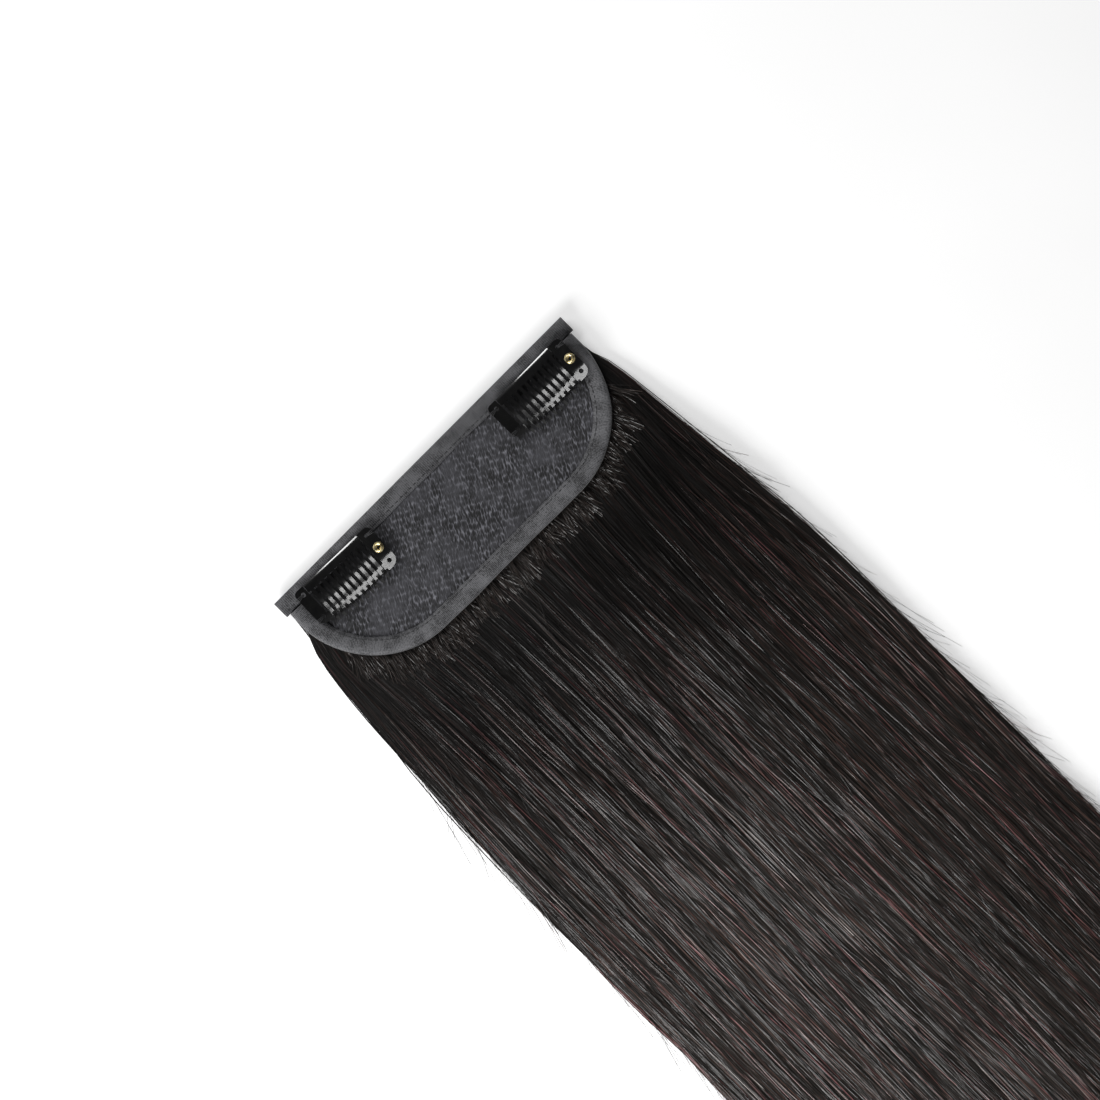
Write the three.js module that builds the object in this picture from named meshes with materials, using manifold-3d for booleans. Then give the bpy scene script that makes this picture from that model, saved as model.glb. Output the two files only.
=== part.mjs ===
// Clip-in hair extension: one weft of long straight hair, sewn in three rows under a D-shaped
// lace panel that is bound with tape, with two snap comb clips on the panel's face.
// It lies on its hair with the clips up. Millimetres; +X runs along the weft, +Y from the hair's
// tips to the taped top edge, +Z up, and the origin is under the middle of the whole piece.
import * as THREE from "three";
import { mergeVertices } from "three/addons/utils/BufferGeometryUtils.js";
import Module from "manifold-3d";

const wasm = await Module();
wasm.setup();

// Lace panel and its binding tape.
const panelWidth = 125.5;
const panelHeight = 43.5;
const cornerRadius = 33;
const laceThickness = 1;
const topTapeOverhang = 1.25;
const tapeWidth = 5.8;
const tapeWall = 1;
const panelSlopeDeg = 4;

// Clearance between sewn layers, and between pieces of thin metal.
const seamGap = 0.3;
const metalGap = 0.2;

// Snap comb clip, stamped from spring steel.
const clipLength = 32;
const clipHeight = 15.2;
const sheetThickness = 0.5;
const leftPlateWidth = 4;
const rightPlateWidth = 4.6;
const leftPlateShortfall = 1.3;
const plateTopRadius = 1.5;
const plateFootRadius = 2.8;
const barWidth = 2;
const barPlanBow = 0.8;
const clipBow = 0.9;
const spineWidth = 2.8;
const spineEdgeWidth = 0.8;
const spineEdgeFall = 0.25;
const toothCount = 10;
const toothPitch = 2.25;
const toothWidth = 1.1;
const toothTipWidth = 0.7;
const toothDip = 0.35;
const toothPastBar = 2.4;
const toothTipDrop = 0.5;
const sewingHoleRadius = 0.8;
const sewingHoleInset = 2.3;
const eyeletBoreRadius = 0.6;
const eyeletShankRadius = 0.95;
const eyeletFlangeRadius = 1.75;
const eyeletFlangeHeight = 0.55;
const eyeletInset = 2;

// Where each clip is sewn: its outer end from the panel's side, its upper edge from the top fold.
const clipSeats = [
  { side: "left", direction: -1, endInset: 4.9, drop: 3, turnDeg: -1.8 },
  { side: "right", direction: 1, endInset: 3.9, drop: 4.2, turnDeg: 0.3 },
];

// Hair.
const overallLength = 406;
const headThickness = 1.9;
const headDepth = 4;
const headRamp = 3;
const hairPeakThickness = 6.6;
const hairPeakDistance = 32;
const hairTipThickness = 3.2;
const sideSpread = 9.5;
const spreadLength = 55;
const rootRowInset = 3;
const middleRowDrop = 18;
const middleRowInset = 17;
const sideRootDrop = 10;
const lockGroove = 0.35;
const lockPoint = 22;
const lockStagger = 12;
const rowTipStep = 7;

const panelSlope = THREE.MathUtils.degToRad(panelSlopeDeg);
const laceUnderside = tapeWall + seamGap;
const panelThickness = laceThickness + 2 * laceUnderside;
const bindingInset = tapeWall + seamGap;
const topTapeLength = panelWidth + 2 * topTapeOverhang;
const clipSeatHeight = panelThickness + seamGap + spineEdgeFall;
const clipHalf = clipLength / 2;
const bowHalf = clipHalf - rightPlateWidth;

// One closed body from two grids of points, its upper and lower skins, joined round the rim.
function slab(rows, columns, upper, lower) {
  const points = [];
  for (const skin of [upper, lower])
    for (let i = 0; i <= rows; i++)
      for (let j = 0; j <= columns; j++) points.push(...skin(i, j));
  const skinSize = (rows + 1) * (columns + 1);
  const at = (skin, i, j) => skin * skinSize + i * (columns + 1) + j;
  const faces = [];
  const quad = (a, b, c, d) => faces.push(a, b, c, a, c, d);
  for (let i = 0; i < rows; i++)
    for (let j = 0; j < columns; j++) {
      quad(at(0, i, j), at(0, i + 1, j), at(0, i + 1, j + 1), at(0, i, j + 1));
      quad(at(1, i, j), at(1, i, j + 1), at(1, i + 1, j + 1), at(1, i + 1, j));
    }
  for (let i = 0; i < rows; i++) {
    quad(at(0, i, 0), at(1, i, 0), at(1, i + 1, 0), at(0, i + 1, 0));
    quad(at(0, i, columns), at(0, i + 1, columns), at(1, i + 1, columns), at(1, i, columns));
  }
  for (let j = 0; j < columns; j++) {
    quad(at(0, 0, j), at(0, 0, j + 1), at(1, 0, j + 1), at(1, 0, j));
    quad(at(0, rows, j), at(1, rows, j), at(1, rows, j + 1), at(0, rows, j + 1));
  }
  const geometry = new THREE.BufferGeometry();
  geometry.setAttribute("position", new THREE.Float32BufferAttribute(points, 3));
  geometry.setIndex(faces);
  return geometry;
}

// Boolean work: a geometry becomes a solid, and a solid becomes a geometry again.
function toSolid(geometry) {
  const bare = geometry.clone();
  bare.deleteAttribute("normal");
  bare.deleteAttribute("uv");
  const merged = mergeVertices(bare, 1e-4);
  return new wasm.Manifold(
    new wasm.Mesh({
      numProp: 3,
      vertProperties: new Float32Array(merged.attributes.position.array),
      triVerts: new Uint32Array(merged.index.array),
    }),
  );
}

function toGeometry(solid) {
  const mesh = solid.getMesh();
  const geometry = new THREE.BufferGeometry();
  geometry.setAttribute("position", new THREE.Float32BufferAttribute(mesh.vertProperties, 3));
  geometry.setIndex(new THREE.Uint32BufferAttribute(mesh.triVerts, 1));
  return geometry;
}

function part(name, geometry, material) {
  const mesh = new THREE.Mesh(geometry, material);
  mesh.name = name;
  return mesh;
}

// The D shape of the panel, drawn inset from its outer edge, with its straight top at the given y.
function panelShape(inset, top) {
  const half = panelWidth / 2 - inset;
  const foot = inset - panelHeight;
  const radius = cornerRadius - inset;
  const shape = new THREE.Shape();
  shape.moveTo(-half, top);
  shape.lineTo(-half, foot + radius);
  shape.absarc(radius - half, foot + radius, radius, Math.PI, 1.5 * Math.PI, false);
  shape.absarc(half - radius, foot + radius, radius, 1.5 * Math.PI, 2 * Math.PI, false);
  shape.lineTo(half, top);
  shape.closePath();
  return shape;
}

function panelLayer(inset, top, bottomZ, thickness) {
  const options = { depth: thickness, bevelEnabled: false, curveSegments: 12 };
  return new THREE.ExtrudeGeometry(panelShape(inset, top), options).translate(0, 0, bottomZ);
}

// Fine net fabric, one flat layer inside the binding.
function lacePanel(material) {
  const layer = panelLayer(bindingInset, -bindingInset, laceUnderside, laceThickness);
  return part("lace_panel", layer, material);
}

// Straight tape folded over the top edge: a U section run along the weft.
function topTape(material) {
  const slotTop = panelThickness - tapeWall;
  const section = new THREE.Shape();
  section.moveTo(0, 0);
  section.lineTo(0, panelThickness);
  section.lineTo(-tapeWidth, panelThickness);
  section.lineTo(-tapeWidth, slotTop);
  section.lineTo(-tapeWall, slotTop);
  section.lineTo(-tapeWall, tapeWall);
  section.lineTo(-tapeWidth, tapeWall);
  section.lineTo(-tapeWidth, 0);
  section.closePath();
  const run = new THREE.ExtrudeGeometry(section, { depth: topTapeLength, bevelEnabled: false });
  run.applyMatrix4(new THREE.Matrix4().set(0, 0, 1, 0, 1, 0, 0, 0, 0, 1, 0, 0, 0, 0, 0, 1));
  run.translate(-topTapeLength / 2, 0, 0);
  return part("top_tape", run, material);
}

// Curved tape folded over the D edge, from under one end of the top tape to the other.
function edgeTape(material) {
  const slotHeight = laceThickness + 2 * seamGap;
  const aboveTop = tapeWidth;
  const overcut = 1;
  const band = toSolid(panelLayer(0, -tapeWidth - seamGap, 0, panelThickness));
  const middle = toSolid(panelLayer(tapeWidth, aboveTop, -overcut, panelThickness + 2 * overcut));
  const slot = toSolid(panelLayer(tapeWall, aboveTop, tapeWall, slotHeight));
  return part("edge_tape", toGeometry(band.subtract(middle).subtract(slot)), material);
}

// The clip's sheet is bowed along its length, ends up; its end plates run on straight and tilted.
function sheetHeight(x) {
  const reach = Math.abs(x);
  if (reach <= bowHalf) return clipBow * (x / bowHalf) ** 2;
  return clipBow + ((2 * clipBow) / bowHalf) * (reach - bowHalf);
}

// Sheet metal through the given stations along x. Each line along it, in order of rising y, gives
// its y and how far it falls below the bowed sheet.
function sheetStrip(stations, lines) {
  const skin = (offset) => (i, j) => {
    const x = stations[i];
    return [x, lines[j].y(x), sheetHeight(x) - (lines[j].fall ?? 0) + offset];
  };
  return toSolid(slab(stations.length - 1, lines.length - 1, skin(sheetThickness), skin(0)));
}

function evenStations(from, to, steps) {
  return Array.from({ length: steps + 1 }, (_, i) => from + ((to - from) * i) / steps);
}

// How far a rounded corner pulls the edge in, at a distance from the plate's outer end.
function cornerPull(distance, radius) {
  return distance >= radius ? 0 : radius - Math.sqrt(radius ** 2 - (radius - distance) ** 2);
}

function endPlate(direction, width, foot) {
  const shares = [0, 0.08, 0.25, 0.55, 1];
  const fromEnd = [...shares.map((share) => share * plateFootRadius), width];
  const stations = fromEnd.map((distance) => direction * (clipHalf - distance));
  if (direction > 0) stations.reverse();
  const distanceOf = (x) => clipHalf - Math.abs(x);
  return sheetStrip(stations, [
    { y: (x) => foot + cornerPull(distanceOf(x), plateFootRadius) },
    { y: (x) => clipHeight / 2 - cornerPull(distanceOf(x), plateTopRadius) },
  ]);
}

// The lower bar's centre line in plan: it sinks outward between the plates.
function barCentre(x) {
  const rise = (leftPlateShortfall * (clipHalf - x)) / clipLength;
  const swing = barPlanBow * (1 - Math.min(1, (x / bowHalf) ** 2));
  return (barWidth + barPlanBow - clipHeight) / 2 + barPlanBow / 2 + rise - swing;
}

function drill(solid, x, y, radius) {
  const cutter = new THREE.CylinderGeometry(radius, radius, clipHeight, 12);
  cutter.rotateX(Math.PI / 2);
  cutter.rotateY(-plateTilt(x));
  cutter.translate(x, y, sheetHeight(x));
  return solid.subtract(toSolid(cutter));
}

function plateTilt(x) {
  return Math.sign(x) * Math.atan((2 * clipBow) / bowHalf);
}

// C-shaped frame: two end plates on a slim lower bar, with sewing holes and the eyelet's hole.
function clipFrame(name, material) {
  const foot = -clipHeight / 2;
  const barEnd = clipHalf - plateFootRadius;
  const bar = sheetStrip(evenStations(-barEnd, barEnd, 16), [
    { y: (x) => barCentre(x) - barWidth / 2 },
    { y: (x) => barCentre(x) + barWidth / 2 },
  ]);
  const rightX = clipHalf - sewingHoleInset;
  const leftX = sewingHoleInset - clipHalf;
  const highY = clipHeight / 2 - sewingHoleInset;
  let frame = bar
    .add(endPlate(-1, leftPlateWidth, foot + leftPlateShortfall))
    .add(endPlate(1, rightPlateWidth, foot));
  frame = drill(frame, rightX, highY, sewingHoleRadius);
  frame = drill(frame, rightX, -highY, sewingHoleRadius);
  frame = drill(frame, leftX, highY, sewingHoleRadius);
  frame = drill(frame, leftX, leftPlateShortfall - highY, sewingHoleRadius);
  frame = drill(frame, clipHalf - eyeletInset, 0, eyeletShankRadius + metalGap);
  return part(name, toGeometry(frame), material);
}

// One tooth dips as it leaves the spine, climbs over the lower bar and ends bent down past it.
function tooth(x, spineLow) {
  const barTop = barCentre(x) + barWidth / 2;
  const barFoot = barTop - barWidth;
  const gap = spineLow - barTop;
  const overBar = sheetThickness + 2 * metalGap;
  const stations = [
    { y: spineLow + spineWidth / 4, lift: 0, width: toothWidth },
    { y: spineLow - gap / 8, lift: 0, width: toothWidth },
    { y: spineLow - gap / 2, lift: -toothDip, width: toothWidth },
    { y: barTop + barWidth / 3, lift: overBar, width: toothWidth },
    { y: barFoot - barWidth / 6, lift: overBar, width: toothWidth },
    { y: barFoot - toothPastBar / 2, lift: overBar / 2, width: (toothWidth + toothTipWidth) / 2 },
    { y: barFoot - toothPastBar, lift: -toothTipDrop, width: toothTipWidth },
  ];
  const skin = (offset) => (i, j) => {
    const { y, lift, width } = stations[i];
    return [x + (j - 0.5) * width, y, sheetHeight(x) + lift + offset];
  };
  return toSolid(slab(stations.length - 1, 1, skin(sheetThickness), skin(0)));
}

// Comb: the upper bar, its top edge turned down a little, with its row of teeth. It turns up from
// the frame about that edge when the clip snaps open.
function clipComb(name, material) {
  const spineHigh = clipHeight / 2;
  const spineLow = spineHigh - spineWidth;
  const leftEnd = leftPlateWidth - clipHalf + metalGap;
  const rightEnd = clipHalf - rightPlateWidth - metalGap;
  let comb = sheetStrip(evenStations(leftEnd, rightEnd, 12), [
    { y: () => spineLow },
    { y: () => spineHigh - spineEdgeWidth },
    { y: () => spineHigh, fall: spineEdgeFall },
  ]);
  const firstTooth = (leftEnd + rightEnd - (toothCount - 1) * toothPitch) / 2;
  for (let i = 0; i < toothCount; i++) comb = comb.add(tooth(firstTooth + i * toothPitch, spineLow));
  return part(name, toGeometry(comb), material);
}

// Brass eyelet, flanged on both sides of the right plate.
function clipEyelet(name, material) {
  const above = sheetThickness + metalGap;
  const below = -metalGap;
  const profile = [
    [eyeletBoreRadius, below - eyeletFlangeHeight / 2],
    [eyeletFlangeRadius - metalGap, below - eyeletFlangeHeight / 2],
    [eyeletFlangeRadius - metalGap, below],
    [eyeletShankRadius, below],
    [eyeletShankRadius, above],
    [eyeletFlangeRadius, above],
    [eyeletFlangeRadius, above + eyeletFlangeHeight / 3],
    [(eyeletFlangeRadius + eyeletBoreRadius) / 2, above + eyeletFlangeHeight],
    [eyeletBoreRadius, above + eyeletFlangeHeight / 3],
    [eyeletBoreRadius, below - eyeletFlangeHeight / 2],
  ].map(([radius, height]) => new THREE.Vector2(radius, height));
  const turned = new THREE.LatheGeometry(profile, 16).rotateX(Math.PI / 2);
  const eyelet = part(name, turned, material);
  const x = clipHalf - eyeletInset;
  eyelet.position.set(x, 0, sheetHeight(x));
  eyelet.rotation.y = -plateTilt(x);
  return eyelet;
}

function clip(seat, materials) {
  const group = new THREE.Group();
  const x = seat.direction * (panelWidth / 2 - seat.endInset - clipHalf);
  group.position.set(x, -seat.drop - clipHeight / 2, clipSeatHeight);
  group.rotation.z = THREE.MathUtils.degToRad(seat.turnDeg);
  group.add(clipFrame(`clip_frame_${seat.side}`, materials.steel));
  group.add(clipComb(`clip_comb_${seat.side}`, materials.steel));
  group.add(clipEyelet(`clip_eyelet_${seat.side}`, materials.brass));
  return group;
}

// Hair is laid out by its distance down from the top fold, measured on the surface it lies on.
const panelUnderside = headThickness + seamGap;
const panelReach = panelHeight * Math.cos(panelSlope);
const lockRoots = overallLength - lockPoint - lockStagger - 2 * rowTipStep;

// Its height from that surface: a wedge under the panel, a swell past it, then thinning to the tips.
function hairHeight(down) {
  const wedge = headThickness + Math.min(down, panelReach) * Math.tan(panelSlope);
  if (down <= panelReach) return wedge;
  const past = (down - panelReach) / (overallLength - panelReach);
  const rise = (down - panelReach) / hairPeakDistance;
  const swell = (hairPeakThickness - wedge) * rise * Math.exp(1 - rise);
  return wedge + (hairTipThickness - wedge) * past + swell;
}

function hairHalfWidth(down) {
  return panelWidth / 2 + sideSpread * (1 - Math.exp(-down / spreadLength));
}

// The curved root line of the lowest row, sewn along the middle of the edge tape.
function curvedRoots() {
  const line = new THREE.Path();
  line.curves = panelShape(rootRowInset, -sideRootDrop).curves.slice(0, -1);
  return line;
}

// Each lock of a row stops a little short of the longest one, in no plain order.
function lockShortfall(lock, count) {
  const within = THREE.MathUtils.clamp(lock, 0, count - 1);
  const turn = 0.618 * Math.abs(within - Math.floor(count / 2));
  return lockStagger * (turn % 1);
}

// A row of hair: pointed locks side by side on one backing, from its sewn head to its tips.
// low and high are shares of the hair's whole height, and head raises the sewn track under the panel.
function hairRow(row, material) {
  const facets = 4;
  const columns = row.locks * facets;
  const fallShares = [0, 0.03, 0.08, 0.15, 0.25, 0.42, 0.7, 1];
  const underGap = row.low ? seamGap : 0;
  const across = (j) => (2 * j) / columns - 1;
  const crown = (j) => Math.sin((Math.PI * (j % facets)) / facets);

  const tipDown = (j) => {
    const lock = Math.floor(j / facets);
    const before = j % facets ? lock : lock - 1;
    const short = (lockShortfall(before, row.locks) + lockShortfall(lock, row.locks)) / 2;
    return overallLength - row.tipStep * rowTipStep - short - lockPoint * (1 - crown(j) ** 2);
  };
  const downAt = (i, j, rootDown) => {
    const sewn = [0, headDepth, headDepth + headRamp];
    if (i < sewn.length) return rootDown + sewn[i];
    const fall = i - sewn.length;
    if (fall === fallShares.length) return tipDown(j);
    const shared = panelReach + fallShares[fall] * (lockRoots - panelReach);
    return Math.max(shared, rootDown + sewn.at(-1) + (fall + 1) * seamGap);
  };
  const placed = (i, j) => {
    const root = row.root(across(j));
    const down = downAt(i, j, root.down);
    const settled = 1 - Math.exp((-2 * (down - root.down)) / spreadLength);
    const x = root.x + settled * (across(j) * hairHalfWidth(down) - root.x);
    return { x, down, settled };
  };

  const upper = (i, j) => {
    const { x, down, settled } = placed(i, j);
    const full = hairHeight(down);
    if (i < 2 && "head" in row) return [x, -down, full + row.head];
    const groove = lockGroove * settled * (1 - crown(j));
    return [x, -down, full * row.high - groove * (full * (row.high - row.low) - underGap)];
  };
  const lower = (i, j) => {
    const { x, down } = placed(i, j);
    return [x, -down, hairHeight(down) * row.low + underGap];
  };
  return part(row.name, slab(fallShares.length + 3, columns, upper, lower), material);
}

function hair(material) {
  const rootLine = curvedRoots();
  const topHalf = panelWidth / 2 - tapeWall;
  const middleHalf = panelWidth / 2 - middleRowInset;
  const rows = [
    {
      name: "hair_row_top",
      low: 0,
      high: 0.36,
      head: 0,
      locks: 13,
      tipStep: 2,
      root: (across) => ({ x: across * topHalf, down: tapeWall }),
    },
    {
      name: "hair_row_middle",
      low: 0.36,
      high: 0.68,
      head: laceUnderside * Math.cos(panelSlope) - seamGap / 2,
      locks: 9,
      tipStep: 1,
      root: (across) => ({ x: across * middleHalf, down: middleRowDrop }),
    },
    {
      name: "hair_row_bottom",
      low: 0.68,
      high: 1,
      locks: 11,
      tipStep: 0,
      root: (across) => {
        const point = rootLine.getPointAt((across + 1) / 2);
        return { x: point.x, down: -point.y * Math.cos(panelSlope) };
      },
    },
  ];
  return rows.map((row) => hairRow(row, material));
}

function finish(color, roughness, metalness) {
  return new THREE.MeshStandardMaterial({ color, roughness, metalness });
}

const materials = {
  lace: finish(0x434345, 0.9, 0),
  tape: finish(0x525253, 0.85, 0),
  hair: finish(0x1f1c1a, 0.45, 0),
  steel: finish(0x1b1b1d, 0.25, 0.7),
  brass: finish(0xd9b65a, 0.3, 1),
};

// The panel and its clips slope up from the thin top edge, over the thicker hair below.
const panel = new THREE.Group();
panel.add(lacePanel(materials.lace), topTape(materials.tape), edgeTape(materials.tape));
for (const seat of clipSeats) panel.add(clip(seat, materials));
panel.rotation.x = -panelSlope;
panel.position.z = panelUnderside;

const assembly = new THREE.Group();
assembly.add(panel, ...hair(materials.hair));

// The finished group stands centred over its origin, on the plane that it lies on.
const bounds = new THREE.Box3().setFromObject(assembly, true);
const middle = bounds.getCenter(new THREE.Vector3());
assembly.position.set(-middle.x, -middle.y, -bounds.min.z);

const extension = new THREE.Group();
extension.add(assembly);
export default extension;
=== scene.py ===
import math

import bpy
import numpy as np
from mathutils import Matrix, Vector


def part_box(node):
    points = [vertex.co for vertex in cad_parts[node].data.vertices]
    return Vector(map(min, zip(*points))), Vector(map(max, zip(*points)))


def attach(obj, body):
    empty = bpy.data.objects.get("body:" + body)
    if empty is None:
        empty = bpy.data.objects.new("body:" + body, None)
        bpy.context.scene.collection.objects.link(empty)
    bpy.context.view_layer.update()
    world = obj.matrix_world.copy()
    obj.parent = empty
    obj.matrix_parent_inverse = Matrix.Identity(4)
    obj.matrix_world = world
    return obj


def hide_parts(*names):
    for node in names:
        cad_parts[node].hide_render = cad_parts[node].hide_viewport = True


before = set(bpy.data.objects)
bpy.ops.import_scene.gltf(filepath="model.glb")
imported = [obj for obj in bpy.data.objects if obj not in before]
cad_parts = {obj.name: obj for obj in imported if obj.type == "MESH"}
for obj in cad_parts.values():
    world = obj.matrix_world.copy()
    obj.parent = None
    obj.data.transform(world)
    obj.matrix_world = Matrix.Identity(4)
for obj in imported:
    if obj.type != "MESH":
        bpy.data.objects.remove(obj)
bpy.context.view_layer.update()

mm = 0.001

# The view
# The weft lies on its hair and is seen from straight above through a long lens, which keeps its
# edges parallel. Its top edge climbs to the right, so the camera is turned about its line of sight.
view_width = 347 * mm
view_turn = math.radians(-45.1)
view_centre = Vector((9.6 * mm, 153.4 * mm, 6 * mm))
lens_distance = 3

camera = bpy.data.objects.new("camera", bpy.data.cameras.new("camera"))
camera.data.lens = camera.data.sensor_width * lens_distance / view_width
camera.location = view_centre + Vector((0, 0, lens_distance))
camera.rotation_euler = (0, 0, view_turn)
bpy.context.scene.collection.objects.link(camera)
bpy.context.scene.camera = camera

# The lace panel
# A D-shaped piece of fine black nylon net, the base that everything is sewn to. It is held by the
# binding all round, lies a little uneven, and is painted darker under the clips, as painted shade.
panel_slope = math.radians(4)
panel_thickness = 3.6 * mm
panel_height = 43.5 * mm
corner_radius = 33 * mm
lace_inset = 1.3 * mm
lace_height = 1.75 * mm
lace_thickness = 0.3 * mm
lace_ripple = 0.14 * mm

edge_low, edge_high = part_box("edge_tape")
tape_low, tape_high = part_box("top_tape")
panel_width = edge_high.x - edge_low.x
fold_y = tape_high.y - panel_thickness * math.sin(panel_slope)
fold_z = tape_low.z


def on_panel(x, down, height):
    """Points on the sloping panel, from how far across it, down its slope from the fold, and above
    its underside they are."""
    x, down, height = np.broadcast_arrays(x, down, height)
    y = fold_y - down * math.cos(panel_slope) + height * math.sin(panel_slope)
    z = fold_z + down * math.sin(panel_slope) + height * math.cos(panel_slope)
    return np.stack([x, y, z], axis=-1)


def ripple(x, y, wavelength, seed):
    """A smooth uneven height between about -1 and 1, made of a few waves that cross."""
    wave_count = 7
    usual_peak = 4
    rng = np.random.default_rng(seed)
    total = np.zeros(np.broadcast(x, y).shape)
    for _ in range(wave_count):
        heading, phase = rng.uniform(0, 2 * math.pi, 2)
        pitch = wavelength * rng.uniform(0.6, 1.6)
        run = x * math.cos(heading) + y * math.sin(heading)
        total += np.sin(2 * math.pi * run / pitch + phase)
    return total / usual_peak


def smooth_step(value, low, high):
    """0 below low, 1 above high, and an even rise between them."""
    share = np.clip((value - low) / (high - low), 0, 1)
    return share * share * (3 - 2 * share)


def linear(colour):
    """An sRGB hex colour as linear red, green, blue and alpha."""
    parts = [int(colour[i : i + 2], 16) / 255 for i in (1, 3, 5)]
    return [c / 12.92 if c <= 0.04045 else ((c + 0.055) / 1.055) ** 2.4 for c in parts] + [1]


def add(tree, kind, inputs=(), **settings):
    """Adds a node with its settings. An input takes a value, or another node's output."""
    made = tree.nodes.new(kind)
    for name, value in settings.items():
        setattr(made, name, value)
    for name, value in dict(inputs).items():
        if isinstance(value, bpy.types.NodeSocket):
            tree.links.new(value, made.inputs[name])
        else:
            made.inputs[name].default_value = value
    return made


def ramp(tree, factor, stops):
    """A colour ramp through (place, sRGB hex colour) stops."""
    made = add(tree, "ShaderNodeValToRGB", {"Fac": factor})
    elements = made.color_ramp.elements
    for _ in range(len(stops) - 2):
        elements.new(0.5)
    for element, (place, colour) in zip(elements, stops):
        element.position = place
        element.color = linear(colour)
    return made.outputs["Color"]


def new_material(name, inputs):
    """A material of one Principled shader. inputs(tree) gives what its sockets take."""
    material = bpy.data.materials.new(name)
    material.use_nodes = True
    tree = material.node_tree
    tree.nodes.clear()
    shader = add(tree, "ShaderNodeBsdfPrincipled", inputs(tree))
    add(tree, "ShaderNodeOutputMaterial", {"Surface": shader.outputs["BSDF"]})
    return material


def nylon_net(tree):
    """Warp-knitted nylon net: slanting dark holes between paler threads that catch the light, and
    hazy places where a second thread lies over them. The real holes are about half as large, too
    fine to show, so they are drawn coarser."""
    hole_pitch = 0.5 * mm
    hole_length = 1.9 * mm
    hole_slant = math.radians(29)
    haze_size = 8 * mm
    painted_clip_shade_depth = 0.78
    place = add(tree, "ShaderNodeTexCoord").outputs["Object"]
    turned = add(tree, "ShaderNodeMapping", {"Vector": place, "Rotation": (0, 0, hole_slant)})
    cells = add(
        tree,
        "ShaderNodeMapping",
        {"Vector": turned.outputs["Vector"], "Scale": (1 / hole_pitch, 1 / hole_length, 0)},
    )
    net = add(
        tree,
        "ShaderNodeTexVoronoi",
        {"Vector": cells.outputs["Vector"], "Scale": 1, "Randomness": 0.6},
    ).outputs["Distance"]
    threads = ramp(
        tree, net, [(0.22, "#09090a"), (0.42, "#18181a"), (0.58, "#333337"), (0.8, "#78787f")]
    )
    haze = add(
        tree,
        "ShaderNodeTexNoise",
        {"Vector": place, "Scale": 1 / haze_size, "Detail": 4, "Roughness": 0.65},
    ).outputs["Fac"]
    veil = add(
        tree,
        "ShaderNodeMapRange",
        {"Value": haze, "From Min": 0.42, "From Max": 0.64, "To Max": 0.7},
    ).outputs["Result"]
    net_colour = add(
        tree, "ShaderNodeMix", {0: veil, 6: threads, 7: linear("#46464b")}, data_type="RGBA"
    ).outputs[2]
    # the net's colour is darkened below the clips: painted shade, standing for the clips' shadow
    painted_clip_shade = add(tree, "ShaderNodeAttribute", attribute_name="painted_clip_shade").outputs["Fac"]
    light = add(
        tree,
        "ShaderNodeMath",
        {0: painted_clip_shade, 1: -painted_clip_shade_depth, 2: 1.0},
        operation="MULTIPLY_ADD",
    ).outputs["Value"]
    colour = add(tree, "ShaderNodeVectorMath", {0: net_colour, "Scale": light}, operation="SCALE")
    raised = add(tree, "ShaderNodeBump", {"Height": net, "Strength": 0.6, "Distance": 0.2 * mm})
    return {
        "Base Color": colour.outputs["Vector"],
        "Roughness": 0.75,
        "Sheen Weight": 0.15,
        "Sheen Roughness": 0.4,
        "Normal": raised.outputs["Normal"],
    }


def mesh_piece(name, vertices, faces, material, values=(), flow=None):
    """An object of this mesh, smooth, in one material, riding on the weft. values are numbers at
    its points that the material reads, and flow its places along and across, as a UV map."""
    mesh = bpy.data.meshes.new(name)
    mesh.from_pydata(np.asarray(vertices).tolist(), [], faces)
    mesh.polygons.foreach_set("use_smooth", [True] * len(mesh.polygons))
    mesh.materials.append(material)
    for attribute, numbers in dict(values).items():
        layer = mesh.attributes.new(attribute, "FLOAT", "POINT")
        layer.data.foreach_set("value", np.ravel(numbers))
    if flow is not None:
        corner_points = np.zeros(len(mesh.loops), dtype=int)
        mesh.loops.foreach_get("vertex_index", corner_points)
        mesh.uv_layers.new(name="flow").data.foreach_set("uv", flow[corner_points].ravel())
    mesh.update()
    made = bpy.data.objects.new(name, mesh)
    bpy.context.scene.collection.objects.link(made)
    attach(made, "weft")
    return made


def grid_faces(rows, columns):
    """Quads, facing up, of a grid of points that is stored row by row, the rows going down."""
    corner = np.arange(rows * columns).reshape(rows, columns)
    quads = [corner[:-1, :-1], corner[:-1, 1:], corner[1:, 1:], corner[1:, :-1]]
    return np.stack([q.ravel() for q in quads[::-1]], axis=1).tolist()


def lace_foot(x):
    """How far down the lace reaches, at a place across it."""
    beside = np.maximum(np.abs(x) - (panel_width / 2 - corner_radius), 0)
    radius = corner_radius - lace_inset
    return panel_height - corner_radius + np.sqrt(np.maximum(radius**2 - beside**2, 0))


def clip_shade_mask(points):
    """1 below a clip, where the net is given painted shade, and 0 elsewhere."""
    begins_outside = 0.3 * mm
    full_inside = 1.2 * mm
    below = np.zeros(points.shape[:-1])
    for node_name in ("clip_frame_left", "clip_frame_right"):
        low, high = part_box(node_name)
        inside = [
            smooth_step(points[..., i], low[i] - begins_outside, low[i] + full_inside)
            * (1 - smooth_step(points[..., i], high[i] - full_inside, high[i] + begins_outside))
            for i in (0, 1)
        ]
        below = np.maximum(below, inside[0] * inside[1])
    return below


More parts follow.
